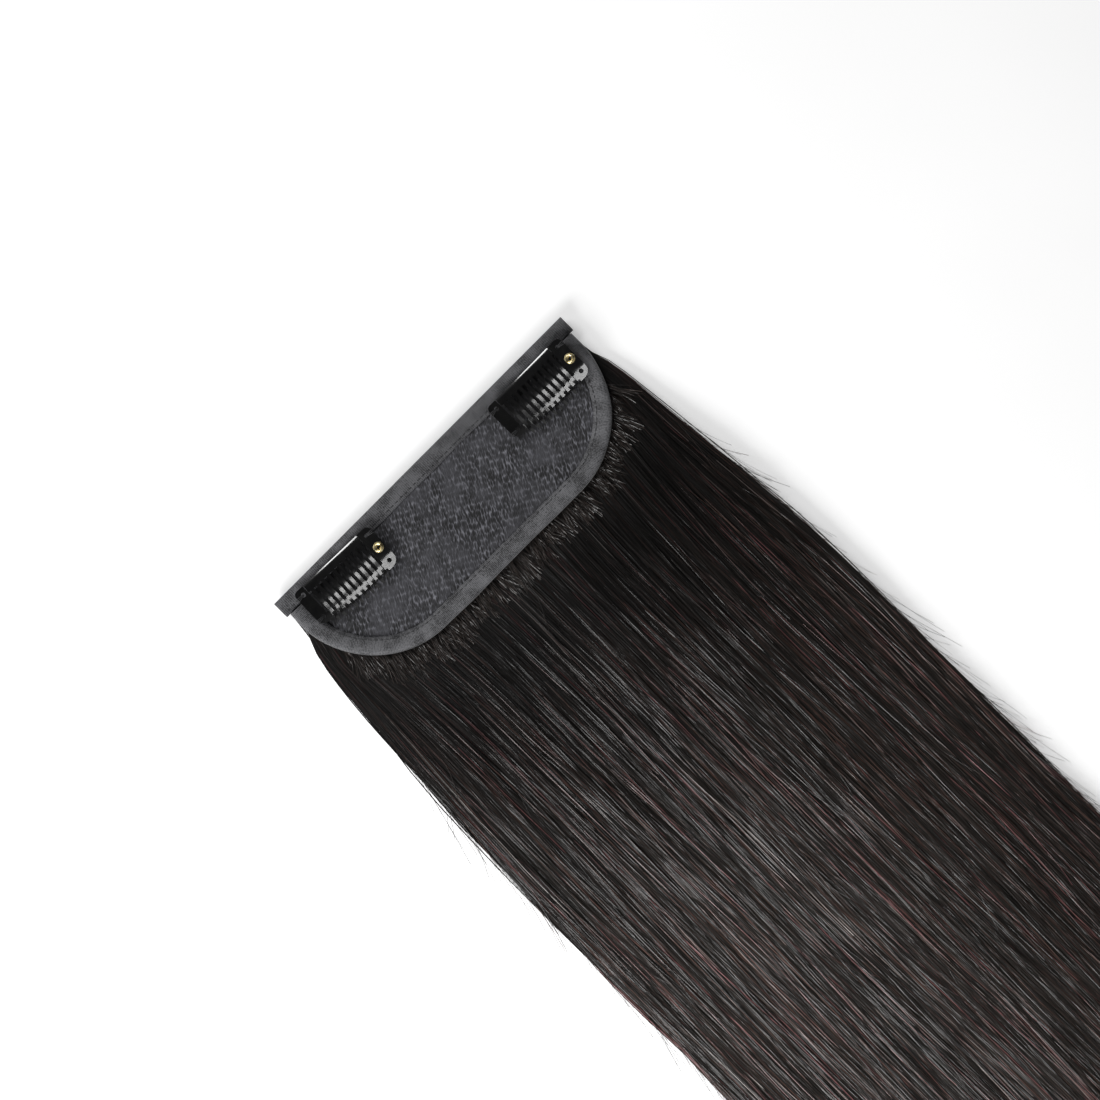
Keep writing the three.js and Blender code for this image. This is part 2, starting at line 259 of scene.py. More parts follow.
lace_columns, lace_rows = 170, 60
lace_x = (panel_width / 2 - lace_inset) * np.sin(np.linspace(-1, 1, lace_columns) * math.pi / 2)
lace_down = lace_inset + np.linspace(0, 1, lace_rows)[:, None] * (lace_foot(lace_x) - lace_inset)
lace_rise = lace_height + lace_ripple * ripple(lace_x, lace_down, 14 * mm, seed=3)
lace_points = on_panel(lace_x, lace_down, lace_rise)
lace = mesh_piece(
    "lace_panel_net",
    lace_points.reshape(-1, 3),
    grid_faces(lace_rows, lace_columns),
    new_material("knitted nylon net", nylon_net),
    # where the net gets painted shade under the clips
    values={"painted_clip_shade": clip_shade_mask(lace_points)},
)
solidify = lace.modifiers.new("net thickness", "SOLIDIFY")
solidify.thickness = lace_thickness
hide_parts("lace_panel")

# The binding tapes
# Two lengths of soft polyester tape, folded over the edge of the net: a straight one along the
# top with square-cut ends, and a curved one round the D. The curved one is paler, with finer ribs.
# The section's outer and inner side run from the front edge over the fold to the rear edge, as
# distance in from the fold and height above the panel's underside.
tape_width = 5.8 * mm
fold_outer = np.array(
    [(5.8, 2.2), (5.5, 2.45), (4.9, 2.75), (4, 3.05), (2.4, 3.4), (1.1, 3.55), (0.35, 3.35), (0, 2.6)]
    + [(0, 1.1), (0.25, 0.35), (1, 0.04), (2.4, 0.02), (4.2, 0.04), (5.8, 0.3)]
) * mm
fold_inner = np.array(
    [(5.8, 1.9), (5.4, 2.05), (4.8, 2.3), (3.9, 2.6), (2.4, 2.9), (1.3, 3.05), (0.7, 2.9), (0.5, 2.4)]
    + [(0.5, 1.2), (0.7, 0.75), (1.3, 0.55), (2.4, 0.5), (4.2, 0.55), (5.8, 0.7)]
) * mm


def polyester_tape(thread_colour, shadow_colour, rib_pitch):
    """Woven polyester tape: fine ribs across it, flecks of brushed fibre, and softly pressed
    patches, all dull, with a nap that lightens it at its edges. Real ribs are about 0.3 mm apart,
    too fine to show, so they are drawn coarser."""
    fleck_size = 0.55 * mm
    patch_size = 6 * mm
    rib_weight = 0.3
    fleck_weight = 0.9
    # a wave texture of Scale 1 repeats every 2 pi / 20
    wave_period = 0.314

    def inputs(tree):
        flow = add(tree, "ShaderNodeUVMap", uv_map="flow").outputs["UV"]
        wave = {"Scale": wave_period / rib_pitch, "Distortion": 3, "Detail": 3, "Detail Scale": 2}
        ribs = add(tree, "ShaderNodeTexWave", {"Vector": flow, **wave}).outputs["Fac"]
        flecks = add(
            tree, "ShaderNodeTexNoise", {"Vector": flow, "Scale": 1 / fleck_size, "Detail": 4}
        ).outputs["Fac"]
        pressed = add(
            tree, "ShaderNodeTexNoise", {"Vector": flow, "Scale": 1 / patch_size, "Detail": 4}
        ).outputs["Fac"]
        cloth = add(
            tree, "ShaderNodeMath", {0: ribs, 1: rib_weight, 2: pressed}, operation="MULTIPLY_ADD"
        ).outputs["Value"]
        shade = add(
            tree, "ShaderNodeMath", {0: flecks, 1: fleck_weight, 2: cloth}, operation="MULTIPLY_ADD"
        ).outputs["Value"]
        tone = add(
            tree, "ShaderNodeMapRange", {"Value": shade, "From Min": 0.86, "From Max": 1.26}
        ).outputs["Result"]
        raised = add(
            tree, "ShaderNodeBump", {"Height": shade, "Strength": 0.5, "Distance": 0.12 * mm}
        )
        return {
            "Base Color": ramp(tree, tone, [(0, shadow_colour), (1, thread_colour)]),
            "Roughness": 0.7,
            "Sheen Weight": 0.25,
            "Sheen Roughness": 0.45,
            "Normal": raised.outputs["Normal"],
        }

    return inputs


def swept(name, loops, along, material):
    """A closed section swept through stations: loops holds each station's points, along its
    distance. The ends are closed by strips between the section's outer and inner half."""
    count, around = loops.shape[:2]
    faces = []
    for i in range(count - 1):
        for j in range(around):
            k = (j + 1) % around
            near, far = i * around, (i + 1) * around
            faces.append((near + j, near + k, far + k, far + j))
    for i, order in ((0, 1), (count - 1, -1)):
        for j in range(around // 2 - 1):
            quad = [i * around + n for n in (j, around - 1 - j, around - 2 - j, j + 1)]
            faces.append(quad[::order])
    girth = np.linalg.norm(np.diff(loops, axis=1), axis=2)
    across = np.concatenate([np.zeros((count, 1)), np.cumsum(girth, axis=1)], axis=1)
    flow = np.stack([along[:, None] + 0 * across, across], axis=-1).reshape(-1, 2)
    return mesh_piece(name, loops.reshape(-1, 3), faces, material, flow=flow)


def folded_tape(name, stations, along, material):
    """A tape folded round the net's edge. Each station places points of its section."""
    outer = np.stack([place(fold_outer[:, 0], fold_outer[:, 1]) for place in stations])
    inner = np.stack([place(fold_inner[:, 0], fold_inner[:, 1]) for place in stations])
    return swept(name, np.concatenate([outer, inner[:, ::-1]], axis=1), along, material)


def d_outline(inset, start):
    """The D line at an inset from the panel's edge, as x and distance down, from start to start."""
    turn = np.linspace(0, math.pi / 2, 60)
    middle = panel_width / 2 - corner_radius
    foot = panel_height - corner_radius
    radius = corner_radius - inset
    x_left = -middle - radius * np.cos(turn)
    x_right = middle + radius * np.sin(turn)
    x = np.concatenate([[-middle - radius], x_left, x_right, [middle + radius]])
    down_left = foot + radius * np.sin(turn)
    down_right = foot + radius * np.cos(turn)
    return x, np.concatenate([[start], down_left, down_right, [start]])


def along_line(x, down, shares):
    """Points at shares of a line's length, the inward direction there, and the line's length."""
    reach = np.concatenate([[0], np.cumsum(np.hypot(np.diff(x), np.diff(down)))])
    at = np.asarray(shares) * reach[-1]
    step = 0.5 * mm
    run_x = np.interp(at + step, reach, x) - np.interp(at - step, reach, x)
    run_down = np.interp(at + step, reach, down) - np.interp(at - step, reach, down)
    length = np.hypot(run_x, run_down)
    inward_x, inward_down = run_down / length, -run_x / length
    return np.interp(at, reach, x), np.interp(at, reach, down), inward_x, inward_down, reach[-1]


def top_tape_station(x):
    """Places the section at x along the top tape, whose width wavers and whose front is uneven."""
    waver = 0.12 * mm * ripple(x, 0, 16 * mm, seed=11)

    def place(inward, height):
        puff = 0.06 * mm * ripple(x, inward, 7 * mm, seed=12) * (height > 1.5 * mm)
        return on_panel(x, inward + waver * inward / tape_width, height + puff)

    return place


top_half = (tape_high.x - tape_low.x) / 2
top_x = np.linspace(-top_half, top_half, 260)
top_tape = folded_tape(
    "top_binding_tape",
    [top_tape_station(x) for x in top_x],
    top_x,
    new_material("pressed polyester tape", polyester_tape("#646467", "#1e1e20", 0.62 * mm)),
)
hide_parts("top_tape")

below_top_tape = 0.3 * mm
edge_line = d_outline(0, tape_width + below_top_tape)


def edge_tape_station(share):
    """Places the section at a share of the D line. Its inner edge puckers a little, because it is
    eased round the curve."""
    x, down, inward_x, inward_down, length = along_line(*edge_line, [share])
    at = share * length
    waver = 0.14 * mm * ripple(at, 0, 18 * mm, seed=21)
    pucker = ripple(at, 0, 2.4 * mm, seed=23)

    def place(inward, height):
        share_in = inward / tape_width
        deep = inward + waver * (1 - share_in) + 0.12 * mm * pucker * share_in**3
        puff = 0.09 * mm * ripple(at, inward, 6 * mm, seed=22) + 0.05 * mm * pucker * share_in**2
        puff = puff * (height > 1.5 * mm)
        return on_panel(x + inward_x * deep, down + inward_down * deep, height + puff)

    return place


edge_shares = np.linspace(0, 1, 520)
edge_length = along_line(*edge_line, [0])[4]
edge_tape = folded_tape(
    "edge_binding_tape",
    [edge_tape_station(share) for share in edge_shares],
    edge_shares * edge_length,
    new_material("soft polyester binding", polyester_tape("#6e6e71", "#18181a", 0.5 * mm)),
)
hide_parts("edge_tape")

# The seams of the tapes
# A lock stitch in black polyester thread runs just inside the inner edge of each tape, and holds
# tape, net and hair track together. Its stitches are a shade darker than the tape.
stitch_pitch = 2 * mm
stitch_length = 1.35 * mm
stitch_arch = 0.16 * mm
seam_inset = 4.7 * mm
seam_height = 2.78 * mm
thread_radius = 0.13 * mm


def sewing_thread(tree):
    """Twisted polyester thread: dark grey with a slight shine on each turn of the twist."""
    twist_size = 0.25 * mm
    place = add(tree, "ShaderNodeTexCoord").outputs["Object"]
    twist = add(
        tree, "ShaderNodeTexNoise", {"Vector": place, "Scale": 1 / twist_size, "Detail": 2}
    ).outputs["Fac"]
    raised = add(tree, "ShaderNodeBump", {"Height": twist, "Strength": 0.5, "Distance": 0.05 * mm})
    return {
        "Base Color": ramp(tree, twist, [(0.35, "#1e1e20"), (0.65, "#3e3e40")]),
        "Roughness": 0.5,
        "Normal": raised.outputs["Normal"],
    }


thread_material = new_material("black polyester sewing thread", sewing_thread)


def thread_runs(name, paths, radius):
    """Lengths of round sewing thread through points, all of one mesh, drawn in at both ends."""
    count, points = paths.shape[:2]
    sides = 6
    drawn_in = 0.35
    # not quite upright, so that the upright legs of a stitch have a side too
    almost_up = [0.1, 0.05, 1]
    run = np.gradient(paths, axis=1)
    run /= np.linalg.norm(run, axis=2, keepdims=True)
    side = np.cross(run, almost_up)
    side /= np.linalg.norm(side, axis=2, keepdims=True)
    upward = np.cross(side, run)
    swell = np.sin(np.linspace(drawn_in, math.pi - drawn_in, points)) ** 0.5 * radius
    turn = np.arange(sides) * 2 * math.pi / sides
    ring = np.cos(turn)[:, None] * side[:, :, None] + np.sin(turn)[:, None] * upward[:, :, None]
    vertices = paths[:, :, None] + ring * swell[None, :, None, None]
    first = (np.arange(count) * points * sides)[:, None, None]
    level = (np.arange(points - 1) * sides)[None, :, None]
    a = np.arange(sides)[None, None, :]
    b = (a + 1) % sides
    quads = np.stack([first + level + n for n in (a, b, b + sides, a + sides)], axis=-1)
    starts = first[:, 0] + np.arange(sides)[::-1]
    ends = first[:, 0] + (points - 1) * sides + np.arange(sides)
    faces = quads.reshape(-1, 4).tolist() + starts.tolist() + ends.tolist()
    made = mesh_piece(name, vertices.reshape(-1, 3), faces, thread_material)


def stitches(centre_x, centre_down, run_x, run_down):
    """Each stitch as a small arch of thread along its seam."""
    share = np.linspace(-0.5, 0.5, 6)[None, :]
    x = centre_x[:, None] + run_x[:, None] * share * stitch_length
    down = centre_down[:, None] + run_down[:, None] * share * stitch_length
    return on_panel(x, down, seam_height + stitch_arch * (1 - (2 * share) ** 2))


stitch_x = np.arange(-top_half + 2 * mm, top_half - 2 * mm, stitch_pitch)
straight = np.ones_like(stitch_x)
stitch_askew = 0.06
thread_runs(
    "top_tape_stitches",
    stitches(stitch_x, straight * seam_inset, straight, straight * stitch_askew),
    thread_radius,
)
seam_shares = np.arange(3 * mm, edge_length - 3 * mm, stitch_pitch) / edge_length
line_x, line_down, in_x, in_down, _ = along_line(*edge_line, seam_shares)
seam_x, seam_down = line_x + in_x * seam_inset, line_down + in_down * seam_inset
thread_runs("edge_tape_stitches", stitches(seam_x, seam_down, in_down, -in_x), thread_radius)

# The hair
# Long straight human hair, natural black, machine-sewn into three tracks under the panel: along
# the top tape, across the middle, and round the curved tape. Each track's hair hangs in a layer.
# A real hair is 0.07 mm thick, too fine to show, so each strand is drawn as wide as a few of them.
hair_length = 406 * mm
head_thickness = 1.9 * mm
peak_thickness = 6.6 * mm
peak_distance = 32 * mm
tip_thickness = 3.2 * mm
side_spread = 9.5 * mm
spread_length = 55 * mm
panel_reach = panel_height * math.cos(panel_slope)
strand_half_width = 0.14 * mm


def hair_height(down):
    """The hair's upper surface above the table, at a distance down from the fold."""
    wedge = head_thickness + np.minimum(down, panel_reach) * math.tan(panel_slope)
    past = np.maximum(down - panel_reach, 0)
    rise = past / peak_distance
    swell = (peak_thickness - wedge) * rise * np.exp(1 - rise)
    return wedge + (tip_thickness - wedge) * past / (hair_length - panel_reach) + swell


def hair_half_width(down):
    """Half the width of the body of hair, which spreads below the panel."""
    return panel_width / 2 + side_spread * (1 - np.exp(-down / spread_length))


def straight_root(half, down):
    """The root line of a track that runs straight across the panel."""

    def at(across):
        still = np.zeros_like(across)
        return across * half, still + down, still, still + 1

    return at


def curved_root(inset, drop):
    """The root line of a track round the D, with the outward direction there."""

    def at(across):
        x, down, inward_x, inward_down, _ = along_line(*d_outline(inset, drop), (across + 1) / 2)
        return x, down * math.cos(panel_slope), -inward_x, -inward_down

    return at


def waves(rng, count, down, pitches, size):
    """A few waves along each of count strands, of pitches and phases of their own."""
    pitch = rng.uniform(*pitches, (count, 1))
    phase = rng.uniform(0, 2 * math.pi, (count, 2))
    turn = 2 * math.pi * down / pitch
    return size * (np.sin(turn + phase[:, :1]) + 0.5 * np.sin(1.83 * turn + phase[:, 1:]))


def long_strands(rng, row, count, segments):
    """Strands of one row from its track to its tips, in locks and finer clumps that sway together.
    A few strands lie loose at the sides, and a few wander off their lock."""
    root, low, high, head, tip_short = row
    locks, clumps = 46, 380
    lock_draw, clump_draw = 0.12, 0.55
    lock_sway, clump_sway, own_sway = 1.1 * mm, 0.4 * mm, 0.13 * mm
    loose_share, loose_reach = 0.03, 0.006
    wander_share, wander_reach = 0.04, 2.2 * mm
    corner_bulge, bulge_distance = 3 * mm, 11 * mm
    layer_waves = 0.22
    lowest = 0.22 * mm

    across = rng.uniform(-1, 1, count)
    loose = rng.uniform(0, 1, count) < loose_share
    across = np.where(loose, np.sign(across) * (1 + rng.exponential(loose_reach, count)), across)
    x0, down0, out_x, _ = (v[:, None] for v in root(np.clip(across, -1, 1)))
    edges = np.sort(rng.uniform(-1, 1, locks - 1))
    lock = np.searchsorted(edges, across)
    lock_middle = np.interp(lock + 0.5, np.arange(locks + 1), np.concatenate([[-1], edges, [1]]))
    clump = np.clip((across + 1) / 2 * clumps, 0, clumps - 1).astype(int)
    clump_middle = (clump + 0.5) / clumps * 2 - 1
    thinned = np.minimum(rng.exponential(10 * mm, count), 80 * mm)
    tip = hair_length - tip_short - rng.uniform(0, 12 * mm, locks)[lock] - thinned
    along = np.linspace(0, 1, segments + 1)[None, :] ** 1.12
    down = down0 + (tip[:, None] - down0) * along
    past = down - down0

    settled = 1 - np.exp(-2 * past / spread_length)
    gathered = clump_draw * smooth_step(along, 0.02, 0.6)
    place = across[:, None] + (clump_middle - across)[:, None] * gathered
    place += (lock_middle - across)[:, None] * lock_draw * along**2
    x = x0 + settled * (place * hair_half_width(down) - x0)
    bulge = past / bulge_distance * np.exp(1 - past / bulge_distance)
    x += corner_bulge * bulge * out_x * np.abs(out_x)
    lock_pitch = rng.uniform(150 * mm, 260 * mm, (locks, 1))[lock]
    lock_phase = rng.uniform(0, 2 * math.pi, (locks, 1))[lock]
    clump_pitch = rng.uniform(70 * mm, 150 * mm, (clumps, 1))[clump]
    clump_phase = rng.uniform(0, 2 * math.pi, (clumps, 1))[clump]
    sway = lock_sway * np.sin(2 * math.pi * down / lock_pitch + lock_phase)
    sway += clump_sway * np.sin(2 * math.pi * down / clump_pitch + clump_phase)
    sway += waves(rng, count, down, (35 * mm, 90 * mm), own_sway)
    wanders = rng.uniform(0, 1, (count, 1)) < wander_share
    drift = rng.normal(0, 0.8 * mm, (count, 1))
    drift = drift + rng.normal(0, wander_reach, (count, 1)) * wanders
    x += settled * sway + drift * along

    layer = rng.uniform(0, 1, (count, 1))
    layer = layer + waves(rng, count, down, (60 * mm, 160 * mm), layer_waves)
    thickness = hair_height(down)
    sewn = 1 - smooth_step(past, 3 * mm, 9 * mm)
    top = thickness * high
    if head:
        top = top + (thickness + head - top) * sewn
    bottom = thickness * low + 0.15 * mm
    z = bottom + (top - bottom) * np.clip(layer, 0, 1)
    z = z + rng.uniform(-0.06 * mm, 0.06 * mm, (count, 1))
    return np.stack([x, fold_y - down, np.maximum(z, lowest)], axis=-1), along + 0 * down


def flat_strands(name, rng, paths, along, half_width, turning, shades=(0, 1), lively=1):
    """One mesh of flat strands. Each turns slowly about its own length, as the oval section of a
    real hair does, so it glints in short runs. lively is how much of the turning it keeps. Towards
    both sides they lean a little, with the round of the body of hair."""
    own_roll, roll_waves, side_roll, most_roll = 0.28, 0.34, 0.14, 1.15
    tip_taper, tip_length, tip_width = 0.3, 0.05, 0.1
    count, points = paths.shape[:2]
    run = np.gradient(paths, axis=1)
    run /= np.linalg.norm(run, axis=2, keepdims=True)
    side = np.cross(run, [0, 0, 1])
    side /= np.linalg.norm(side, axis=2, keepdims=True)
    upward = np.cross(side, run)
    steps = np.linalg.norm(np.diff(paths, axis=1), axis=2)
    reach = np.concatenate([np.zeros((count, 1)), np.cumsum(steps, axis=1)], axis=1)
    beside = paths[..., 0] / hair_half_width(fold_y - paths[..., 1])
    roll = rng.normal(0, own_roll, (count, 1)) + waves(rng, count, reach, turning, roll_waves)
    roll = roll * lively + side_roll * np.abs(beside) + side_roll * beside
    roll = np.clip(roll, -most_roll, most_roll)[..., None]
    taper = (1 - tip_taper * along) * np.clip((1 - along) / tip_length, tip_width, 1)
    width = half_width * rng.uniform(0.75, 1.25, (count, 1)) * taper
    reach_out = (np.cos(roll) * side + np.sin(roll) * upward) * width[..., None]
    vertices = np.stack([paths - reach_out, paths + reach_out], axis=2).reshape(-1, 3)
    first = (np.arange(count) * points * 2)[:, None] + (np.arange(points - 1) * 2)[None, :]
    faces = np.stack([first, first + 1, first + 3, first + 2], axis=-1).reshape(-1, 4).tolist()
    shade = rng.uniform(*shades, (count, 1)) + 0 * along
    values = {"along": np.repeat(along.ravel(), 2), "shade": np.repeat(shade.ravel(), 2)}
    return mesh_piece(name, vertices, faces, hair_material, values=values)


def natural_black_hair(tree):
    """Undyed black hair: near-black brown with a few red-brown strands, a few painted grey glints,
    and a narrow gloss that breaks up along each strand. The roots carry painted shade and the lengths
    painted light."""
    scale_width = 0.3 * mm
    scale_length = 2.4 * mm
    shade = add(tree, "ShaderNodeAttribute", attribute_name="shade").outputs["Fac"]
    along = add(tree, "ShaderNodeAttribute", attribute_name="along").outputs["Fac"]
    browns = [(0, "#090807"), (0.5, "#12100f"), (0.84, "#1c1816")]
    # the last stop, a grey, is a painted glint on a few strands
    red_browns_and_grey_glint = [(0.94, "#2f221e"), (0.98, "#42292a"), (1, "#4a4643")]
    strand_colour = ramp(tree, shade, browns + red_browns_and_grey_glint)
    place = add(tree, "ShaderNodeTexCoord").outputs["Object"]
    stretched = add(
        tree,
        "ShaderNodeMapping",
        {"Vector": place, "Scale": (1 / scale_width, 1 / scale_length, 1 / scale_width)},
    ).outputs["Vector"]
    scales = add(
        tree, "ShaderNodeTexNoise", {"Vector": stretched, "Scale": 1, "Detail": 1}
    ).outputs["Fac"]
    # painted shade near the track and painted light down the lengths: the colour is scaled along each
    # strand
    root_shade_length_light = add(
        tree,
        "ShaderNodeMapRange",
        {"Value": along, "From Min": 0.08, "From Max": 0.4, "To Min": 0.7, "To Max": 4.3},
    ).outputs["Result"]
    colour = add(tree, "ShaderNodeVectorMath", {0: strand_colour, "Scale": root_shade_length_light}, operation="SCALE")
    raised = add(tree, "ShaderNodeBump", {"Height": scales, "Strength": 1, "Distance": 0.06 * mm})
    return {
        "Base Color": colour.outputs["Vector"],
        "Roughness": 0.34,
        "IOR": 1.5,
        "Normal": raised.outputs["Normal"],
    }


hair_material = new_material("natural black hair", natural_black_hair)
hair_turning = (16 * mm, 42 * mm)

# each row: root line, lowest and highest share of the hair's height, how far its track stands up,
# and how much shorter its tips are
top_row = (straight_root(panel_width / 2 - 1 * mm, 1 * mm), 0, 0.36, 0.01 * mm, 14 * mm)
middle_row = (straight_root(panel_width / 2 - 17 * mm, 18 * mm), 0.38, 0.68, 1.1 * mm, 7 * mm)
bottom_row = (curved_root(3 * mm, 10 * mm), 0.7, 1, 0, 0)
hair_layers = [
    # piece, node, row, strands, segments, half width of a strand
    ("top_row_hair", "hair_row_top", top_row, 1800, 24, 0.19 * mm),
    ("middle_row_hair", "hair_row_middle", middle_row, 1300, 28, 0.18 * mm),
    ("bottom_row_hair_lower", "hair_row_bottom", bottom_row, 1950, 50, strand_half_width),
    ("bottom_row_hair_middle", "hair_row_bottom", bottom_row, 1950, 50, strand_half_width),
    ("bottom_row_hair_upper", "hair_row_bottom", bottom_row, 1950, 50, strand_half_width),
]
for seed, (piece_name, node_name, row, count, segments, half_width) in enumerate(hair_layers, 31):
    rng = np.random.default_rng(seed)
    paths, along = long_strands(rng, row, count, segments)
    # near the panel the strands turn less, so the hair glints less there
    lively = 0.5 + 0.5 * smooth_step(fold_y - paths[..., 1], 60 * mm, 120 * mm)
    hair = flat_strands(piece_name, rng, paths, along, half_width, hair_turning, lively=lively)
    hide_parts(node_name)

# The hair tracks
# Each row's hair is folded over a cord of thread and overlocked with a zigzag into a flat track,
# which is sewn to the panel from below. Little of it shows past the hair.
cord_radius = 0.34 * mm
zigzag_radius = 0.1 * mm
zigzag_reach = 0.8 * mm
over_cord = [0, 0, 0.35 * mm]
for row_name, row in (("top", top_row), ("middle", middle_row), ("bottom", bottom_row)):
    root, low, high, head, _ = row
    x, down, out_x, out_down = root(np.linspace(-0.995, 0.995, 150))
    track_height = (low + high) / 2 * hair_height(down) + head / 2
    cord = np.stack([x, fold_y - down, np.maximum(track_height, 0.4 * mm)], axis=-1)
    zigzag = np.stack([-out_x, out_down, 0 * x], axis=-1) * zigzag_reach
    legs = [cord[:-1] - zigzag[:-1], cord[:-1] + over_cord, cord[1:] + zigzag[1:]]
    thread_runs(f"{row_name}_row_cord", cord[None], cord_radius)
    thread_runs(f"{row_name}_row_zigzag", np.stack(legs, axis=1), zigzag_radius)

# The short hair at the curved track
# Where hair is folded over the sewing thread, its short ends stand up past the tape in small
# tufts, catch the light, and lie down again within a centimetre. Their colour also carries painted
# light.
tuft_line = curved_root(1.6 * mm, 10.5 * mm)
tufted_share = 0.84
tuft_turning = (9 * mm, 20 * mm)
tuft_half_width = 0.12 * mm


def short_hairs(rng, tufts, per_tuft, segments):
    """Tufts of short hairs, each with a lean, length and lift of its own, that rise from the
    curved track, bend over and come to rest on the hair below."""
    # half a tuft's width, as a share of half the track: about 0.6 mm
    tuft_spread = 1 / 124
    middle = tufted_share * ((np.arange(tufts) + rng.uniform(0.1, 0.9, tufts)) / tufts * 2 - 1)
    count = tufts * per_tuft
    tuft = np.repeat(np.arange(tufts), per_tuft)
    spread = rng.normal(0, tuft_spread, count)
    x0, down0, out_x, out_down = tuft_line(np.clip(middle[tuft] + spread, -1, 1))
    lean = rng.normal(0, 0.12, tufts)[tuft] + rng.normal(0, 0.1, count)
    way = np.stack([out_x * 0.25 + lean, np.maximum(out_down, 0) * 0.3 + 0.7], axis=-1)
    way /= np.linalg.norm(way, axis=1, keepdims=True)
    length = rng.uniform(6 * mm, 11 * mm, tufts)[tuft] * rng.uniform(0.6, 1.2, count)
    lift = rng.uniform(0.4 * mm, 1.3 * mm, tufts)[tuft] * rng.uniform(0.6, 1.3, count)
    share = np.linspace(0, 1, segments + 1)[None, :]
    bend = rng.normal(0, 0.1, (count, 1)) * share**2 * length[:, None]
    x = x0[:, None] + way[:, :1] * length[:, None] * share + bend
    down = down0[:, None] + way[:, 1:] * length[:, None] * share
    start = fold_z + down0[:, None] * math.tan(panel_slope)
    settle = hair_height(down) + 0.1 * mm
    z = start + (settle - start) * share + lift[:, None] * 4 * share * (1 - share) ** 1.3
    return np.stack([x, fold_y - down, z], axis=-1), share + 0 * down


rng = np.random.default_rng(71)
paths, along = short_hairs(rng, 66, 26, 8)
tufts = flat_strands(
    "short_hair_at_track",
    rng,
    paths,
    # a place far along the hair, so that the tufts are painted paler: painted light
    0.3 + 0.1 * along,
    tuft_half_width,
    tuft_turning,
    shades=(0.3, 0.86),
    lively=1.7,
)
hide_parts("hair_row_bottom")

# The loose hair
# Some hairs have worked free of the locks. Their ends cross the surface at small angles or stray
# a few millimetres outside the body of hair, which softens its edges.
loose_half_width = 0.06 * mm
furthest_aside = 8 * mm


def loose_ends(rng, count, segments):
    """Short lengths of hair, three in four of them at the sides of the body of hair."""
    beside = rng.uniform(0, 1, count) < 0.75
    at_sides = rng.choice([-1, 1], count) * rng.uniform(0.93, 1.0, count)
    across = np.where(beside, at_sides, rng.uniform(-1, 1, count))
    start = rng.uniform(46 * mm, hair_length - 70 * mm, count)
    length = rng.uniform(14 * mm, 60 * mm, count)
    share = np.linspace(0, 1, segments + 1)[None, :]
    down = start[:, None] + length[:, None] * share
    outward = np.sign(across) * rng.exponential(2.6 * mm, count)
    aside = np.where(beside, outward, rng.normal(0, 3 * mm, count))
    aside = np.clip(aside, -furthest_aside, furthest_aside)
    x = across[:, None] * hair_half_width(down) + aside[:, None] * share**1.6
    x += waves(rng, count, down, (40 * mm, 110 * mm), 0.35 * mm)
    lift = rng.exponential(0.5 * mm, count)[:, None] * np.sin(math.pi * share) + 0.1 * mm
    z = np.where(beside[:, None], 0.72, 1) * hair_height(down) + lift
    return np.stack([x, fold_y - down, z], axis=-1), 0.1 + 0.9 * down / hair_length


rng = np.random.default_rng(83)
paths, along = loose_ends(rng, 2000, 12)
loose_hair = flat_strands(
    "loose_hair_ends", rng, paths, np.minimum(along, 0.94), loose_half_width, hair_turning
)
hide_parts("hair_row_bottom")

# The snap comb clips
# Stamped spring steel with a glossy black enamel, each with a brass eyelet at one end. They are
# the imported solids, with their stamped edges rounded.
clip_curls = [
    # part, where its curl starts from the clip's middle, its rise there, its bow along the clip
    ("frame", -3.8 * mm, 0.3, 0),
    ("comb", -1 * mm, 0.21, 3.5),
]
edge_radii = {"frame": 0.2 * mm, "comb": 0.2 * mm, "eyelet": 0.1 * mm}


